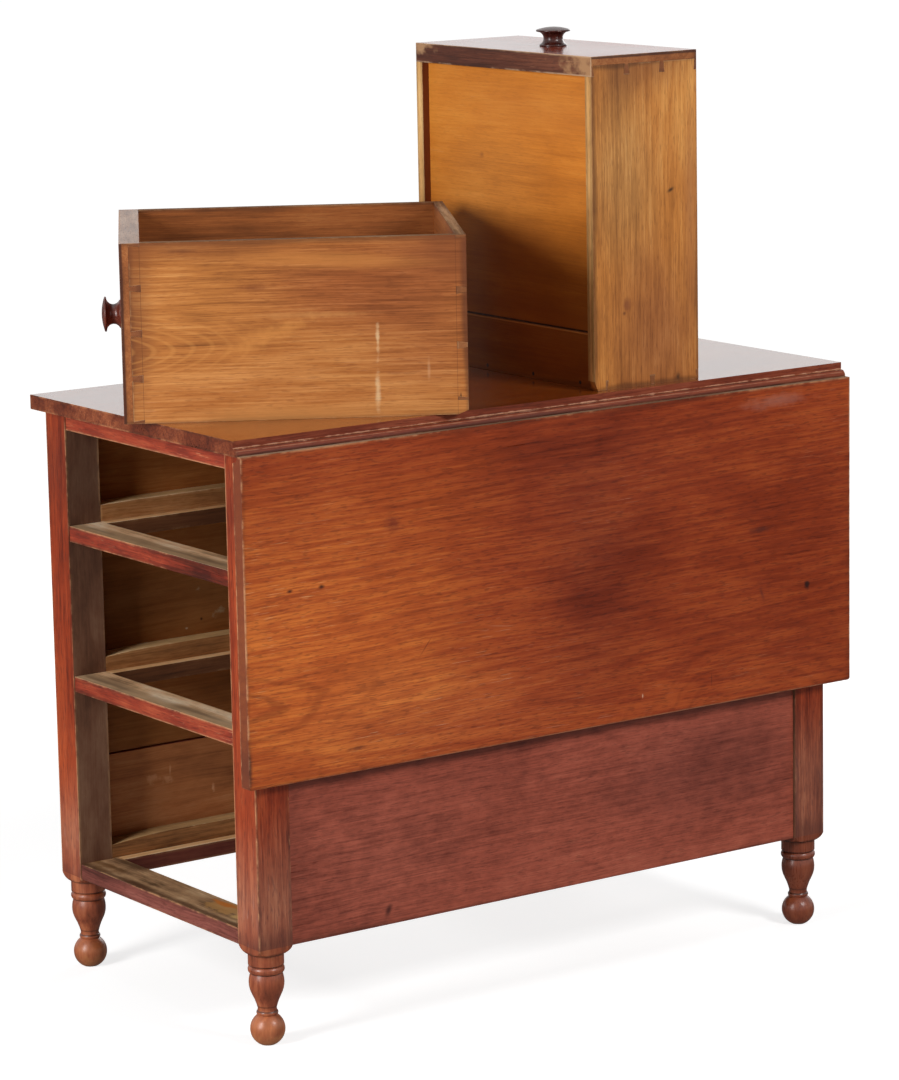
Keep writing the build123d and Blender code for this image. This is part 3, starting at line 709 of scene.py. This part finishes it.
standSideMarks = [
    mark((0.0, 0.09), (0.06, 0.13), (126, 74, 40), 0.7),
    mark((0.12, 0.05), (0.15, 0.07), (188, 140, 82), 0.5),
    mark((0.33, 0.1), (0.14, 0.1), (152, 90, 50), 0.7),
    mark((0.16, 0.15), (0.2, 0.018), (150, 92, 58), 0.5),
    mark((0.156, 0.119), (0.0035, 0.008), (38, 20, 12), 0.9, turn=25, ragged=0.5),
    mark((0.29, 0.05), (0.012, 0.009), (122, 66, 40), 0.7, fine=True),
    mark((0.3, 0.046), (0.004, 0.004), (84, 42, 26), 0.8, fine=True),
    mark((0.386, 0.128), (0.008, 0.006), (40, 24, 16), 0.8, fine=True),
]
standBottomMarks = [
    mark((0.21, 0.2), (0.14, 0.2), (222, 144, 64), 0.5),
    mark((0.23, 0.115), (0.006, 0.006), (150, 84, 40), 0.7, fine=True),
    mark((0.12, 0.05), (0.3, 0.05), (196, 118, 50), 0.4),
    mark((0.17, 0.23), (0.2, 0.05), (176, 100, 40), 0.5),
    # the lower part darker towards the rear: painted shade of the lying drawer's shadow, partly dirt
    mark((0.17, 0.27), (endless, 0.07), (126, 62, 16), 0.5),
    mark((0.17, 0.3), (endless, 0.03), (140, 74, 24), 0.6),
    mark((0.17, 0.3156), (endless, 0.0026), (30, 12, 5), 0.95, core=0.6, ragged=0.15),
]
# pale line along the rear board's front edge: painted highlight
rearBoardMarks = [mark((0.17, 0.0015), (endless, 0.0016), (222, 150, 78), 0.7)]
marksOf = {
    "deep_drawer_right_side": deepSideMarks, "middle_drawer_right_side": standSideMarks,
    "middle_drawer_bottom_board": standBottomMarks, "middle_drawer_bottom_rear_board": rearBoardMarks,
}
drawerTurn = {"deep_drawer": -30.9, "middle_drawer": 0.4}  # how each drawer is turned on the top, degrees
bottomNail = {
    "radius": 0.0024, "proud": 0.00015, "slot": 0.0, "inset": 0.006, "steps": (0.035, 0.13, 0.225, 0.315),
}
nailSpots = {"deep_drawer": [], "middle_drawer": []}
for name, turn in drawerTurn.items():
    stands = name == "middle_drawer"
    spin = Matrix.Rotation(math.radians(turn), 3, "Z")
    backwards = spin @ Vector(down if stands else toClosedEnd)
    sideways = spin @ Vector(toBack)
    upwards = spin @ Vector(toClosedEnd if stands else up)
    frontFaces = [
        (-backwards, drawerFront), (sideways, frontEnd), (-sideways, frontEnd),
        (-upwards, frontUnder), (upwards, frontUpper),
    ]
    longEdges = [(upwards, upperEdge), (-upwards, lowerEdge)]
    rightSide = drawerWood if stands else deepSide
    boards = (
        ("front", sideways, upwards, frontEdge, frontFaces),
        ("right_side", backwards, upwards, rightSide, [(sideways, drawerInside)] + longEdges),
        ("left_side", backwards, upwards, drawerWood, [(-sideways, leftInside)] + longEdges),
        ("back", sideways, upwards, drawerBack, [(-backwards, drawerInside), (upwards, backEdge)]),
        ("bottom_board", sideways, backwards, drawerBottom, [(upwards, drawerInside)]),
        ("bottom_rear_board", sideways, backwards, rearBottom, [(upwards, drawerInside)]),
        ("knob", backwards, upwards, knobPolish if stands else knobWorn, []),
    )
    for number, (piece, along, across, look, faces) in enumerate(boards):
        node = f"{name}_{piece}"
        seed = 80 + 10 * stands + number
        whole = "_side" not in piece
        board = dress(node, along, across, look, seed, faces, marksOf.get(node, ()), edges["drawer"], whole)
        if piece == "bottom_rear_board":
            width, thickness = board["size"][1:]
            for step in bottomNail["steps"]:
                spot = boardSpot(board, step, width - bottomNail["inset"], thickness)
                nailSpots[name].append((spot, board["axes"][2]))
print("drawers dressed")


# hinges, screws and nails

hingeIron = {
    "colours": ((26, 22, 20), (58, 50, 46), (96, 74, 58)), "stops": (0.3, 0.5, 0.7), "metallic": 0.8,
    "blotScale": (90, 90, 90), "gritScale": (700, 700, 700), "rough": 0.5, "roughSpread": 0.3,
    "bump": 0.3, "bumpHeight": 0.0002,
}
hingeScrew = {
    "radius": 0.0034, "proud": 0.0003, "slot": 0.0005, "inset": 0.019,
    "spots": ((-0.011, 0.018), (0.011, 0.018), (0.0, 0.036)),  # aside from the middle, below the plate's top
}
headShape = {"root": -0.0006, "rim": 0.4, "crown": 0.82, "slottedSteps": 14, "plainSteps": 20}


def ironMaterial(name, look):
    material, tree, shader = freshMaterial(name)
    spot = tree.nodes.new("ShaderNodeTexCoord").outputs["Object"]
    blot = noise(tree, spot, look["blotScale"], *layerNoise["blot"])
    grit = noise(tree, spot, look["gritScale"], *layerNoise["grit"])
    colour = ramp(tree, blot, list(zip(look["stops"], [display(*part) for part in look["colours"]])))
    tree.links.new(colour, shader.inputs["Base Color"])
    rough = calc(tree, "ADD", swing(tree, grit, look["roughSpread"]), look["rough"])
    tree.links.new(rough, shader.inputs["Roughness"])
    shader.inputs["Metallic"].default_value = look["metallic"]
    addBump(tree, shader, grit, look["bump"], look["bumpHeight"])
    return material


def roundHeads(name, body, spots, head, material):
    radius = head["radius"]
    proud = head["proud"]
    levels = ((1.0, headShape["root"]), (1.0, proud * headShape["rim"]), (headShape["crown"], proud))
    start = math.asin(head["slot"] / radius)
    if head["slot"]:  # two halves with the slot between them
        halves = (0.0, math.pi)
        reach = math.pi - 2 * start
        steps = headShape["slottedSteps"]
        gaps = steps - 1
    else:
        halves = (0.0,)
        reach = math.tau
        steps = headShape["plainSteps"]
        gaps = steps
    points = []
    faces = []
    for place, outward in spots:
        side = outward.orthogonal().normalized()
        other = outward.cross(side)
        for half in halves:
            first = len(points)
            for share, lift in levels:
                for step in range(steps):
                    angle = start + half + reach * step / gaps
                    flat = side * math.cos(angle) + other * math.sin(angle)
                    points.append(place + flat * radius * share + outward * lift)
            for ring in (first, first + steps):
                for step in range(steps):
                    one = ring + step
                    two = ring + (step + 1) % steps
                    faces.append((one, two, two + steps, one + steps))
            faces.append(tuple(range(first + 2 * steps, first + 3 * steps)))
    mesh = bpy.data.meshes.new(name)
    mesh.from_pydata(points, [], faces)
    mesh.materials.append(material)
    heads = bpy.data.objects.new(name, mesh)
    scene.collection.objects.link(heads)
    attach(heads, body)


iron = ironMaterial("hinge iron", hingeIron)
for piece in ("hinge_top_plates", "hinge_leaf_plates", "hinge_pins"):
    nodes[piece].data.materials.clear()
    nodes[piece].data.materials.append(iron)
low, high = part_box("hinge_leaf_plates")
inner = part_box("drop_leaf")[1].y
screwSpots = []
for hinge in (low.x + hingeScrew["inset"], (low.x + high.x) / 2, high.x - hingeScrew["inset"]):
    for aside, drop in hingeScrew["spots"]:
        screwSpots.append((Vector((hinge + aside, inner, high.z - drop)), Vector(toBack)))
roundHeads("hingeScrews", "leaf", screwSpots, hingeScrew, iron)
for body, spots in nailSpots.items():
    roundHeads(f"{body}_nails", body, spots, bottomNail, iron)
print("hinges, screws and nails dressed")


# floor, light and camera

studio = {
    "floorHalf": 60.0, "floorTone": 0.75, "floorSeen": 0.5, "floorGlow": 0.74, "floorShine": 0.12,
    "glowNear": 0.75, "glowFar": 1.7, "ambient": 0.06,
}
lamps = {  # where each lamp stands, what it looks at, its width and height, its power
    "left softbox": ((-2.7, -0.4, 1.25), (0.0, 0.0, 0.65), (0.75, 1.6), 68),
    "front softbox": ((0.75, -2.9, 2.3), (0.0, 0.0, 0.55), (0.8, 0.8), 63),
    "overhead softbox": ((0.0, 0.2, 3.2), (0.0, 0.0, 0.7), (2.0, 2.0), 12),
    "far side fill": ((3.2, 1.6, 1.8), (0.0, 0.0, 0.6), (1.6, 1.6), 30),
}
cameraView = {  # metres from the near post's low corner, degrees, millimetres
    "from": (-2.48858, -3.93912, 1.49758), "heading": 54.897, "dip": 10.876, "roll": -1.061,
    "lens": 138.694, "sensor": 36.0, "reach": 300.0,
}


def fed(tree, kind, *values):  # a new node with its inputs fed in order
    node = tree.nodes.new(kind)
    for socket, value in zip(node.inputs, values):
        feed(tree, socket, value)
    return node


def floorMaterial():  # bright where the camera sees it, plain for the light it throws back
    material = bpy.data.materials.new("white floor")
    material.use_nodes = True
    tree = material.node_tree
    tree.nodes.clear()
    rays = tree.nodes.new("ShaderNodeLightPath").outputs
    spot = tree.nodes.new("ShaderNodeTexCoord").outputs["Object"]
    away = vectorCalc(tree, "LENGTH", spot, (0, 0, 0))
    level = ease(tree, away, studio["glowNear"], studio["glowFar"], studio["floorGlow"], 1.0)
    plain = fed(tree, "ShaderNodeBsdfDiffuse", grey(studio["floorTone"])).outputs[0]
    seen = fed(tree, "ShaderNodeBsdfDiffuse", grey(studio["floorSeen"])).outputs[0]
    glow = fed(tree, "ShaderNodeEmission", level).outputs[0]
    shine = fed(tree, "ShaderNodeEmission", grey(studio["floorShine"])).outputs[0]
    bright = fed(tree, "ShaderNodeAddShader", seen, glow).outputs[0]
    thrown = fed(tree, "ShaderNodeMixShader", rays["Is Glossy Ray"], plain, shine).outputs[0]
    surface = fed(tree, "ShaderNodeMixShader", rays["Is Camera Ray"], thrown, bright).outputs[0]
    fed(tree, "ShaderNodeOutputMaterial", surface)
    return material


def studioWorld():  # white where it is seen or mirrored, dim as a light
    world = bpy.data.worlds.new("studio")
    world.use_nodes = True
    tree = world.node_tree
    tree.nodes.clear()
    rays = tree.nodes.new("ShaderNodeLightPath").outputs
    direct = calc(tree, "MAXIMUM", rays["Is Camera Ray"], rays["Is Glossy Ray"])
    direct = calc(tree, "MAXIMUM", direct, rays["Is Transmission Ray"])
    level = calc(tree, "MULTIPLY", direct, 1 - studio["ambient"])
    level = calc(tree, "ADD", level, studio["ambient"])
    sky = fed(tree, "ShaderNodeBackground", grey(1), level).outputs[0]
    fed(tree, "ShaderNodeOutputWorld", sky)
    return world


half = studio["floorHalf"]
floorMesh = bpy.data.meshes.new("floor")
corners = [(-half, -half, 0), (half, -half, 0), (half, half, 0), (-half, half, 0)]
floorMesh.from_pydata(corners, [], [(0, 1, 2, 3)])
floorMesh.materials.append(floorMaterial())
floor = bpy.data.objects.new("floor", floorMesh)
scene.collection.objects.link(floor)
scene.world = studioWorld()

for name, (place, aim, size, power) in lamps.items():
    light = bpy.data.lights.new(name, "AREA")
    light.shape = "RECTANGLE"
    light.size, light.size_y = size
    light.energy = power
    holder = bpy.data.objects.new(name, light)
    holder.location = place
    holder.rotation_euler = (Vector(aim) - Vector(place)).to_track_quat("-Z", "Y").to_euler()
    scene.collection.objects.link(holder)
print("studio set up")

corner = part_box("drawer_end_leaf_side_post")[0]
heading = math.radians(cameraView["heading"])
dip = math.radians(cameraView["dip"])
forward = Vector((math.cos(dip) * math.cos(heading), math.cos(dip) * math.sin(heading), -math.sin(dip)))
right = forward.cross(Vector(up)).normalized()
right = Matrix.Rotation(math.radians(-cameraView["roll"]), 3, forward) @ right
facing = Matrix((right, right.cross(forward), -forward)).transposed().to_4x4()
photoCamera = bpy.data.cameras.new("photo camera")
photoCamera.lens = cameraView["lens"]
photoCamera.sensor_width = cameraView["sensor"]
photoCamera.clip_end = cameraView["reach"]
camera = bpy.data.objects.new("photo camera", photoCamera)
camera.matrix_world = Matrix.Translation(corner + Vector(cameraView["from"])) @ facing
scene.collection.objects.link(camera)
scene.camera = camera
print("camera set up")
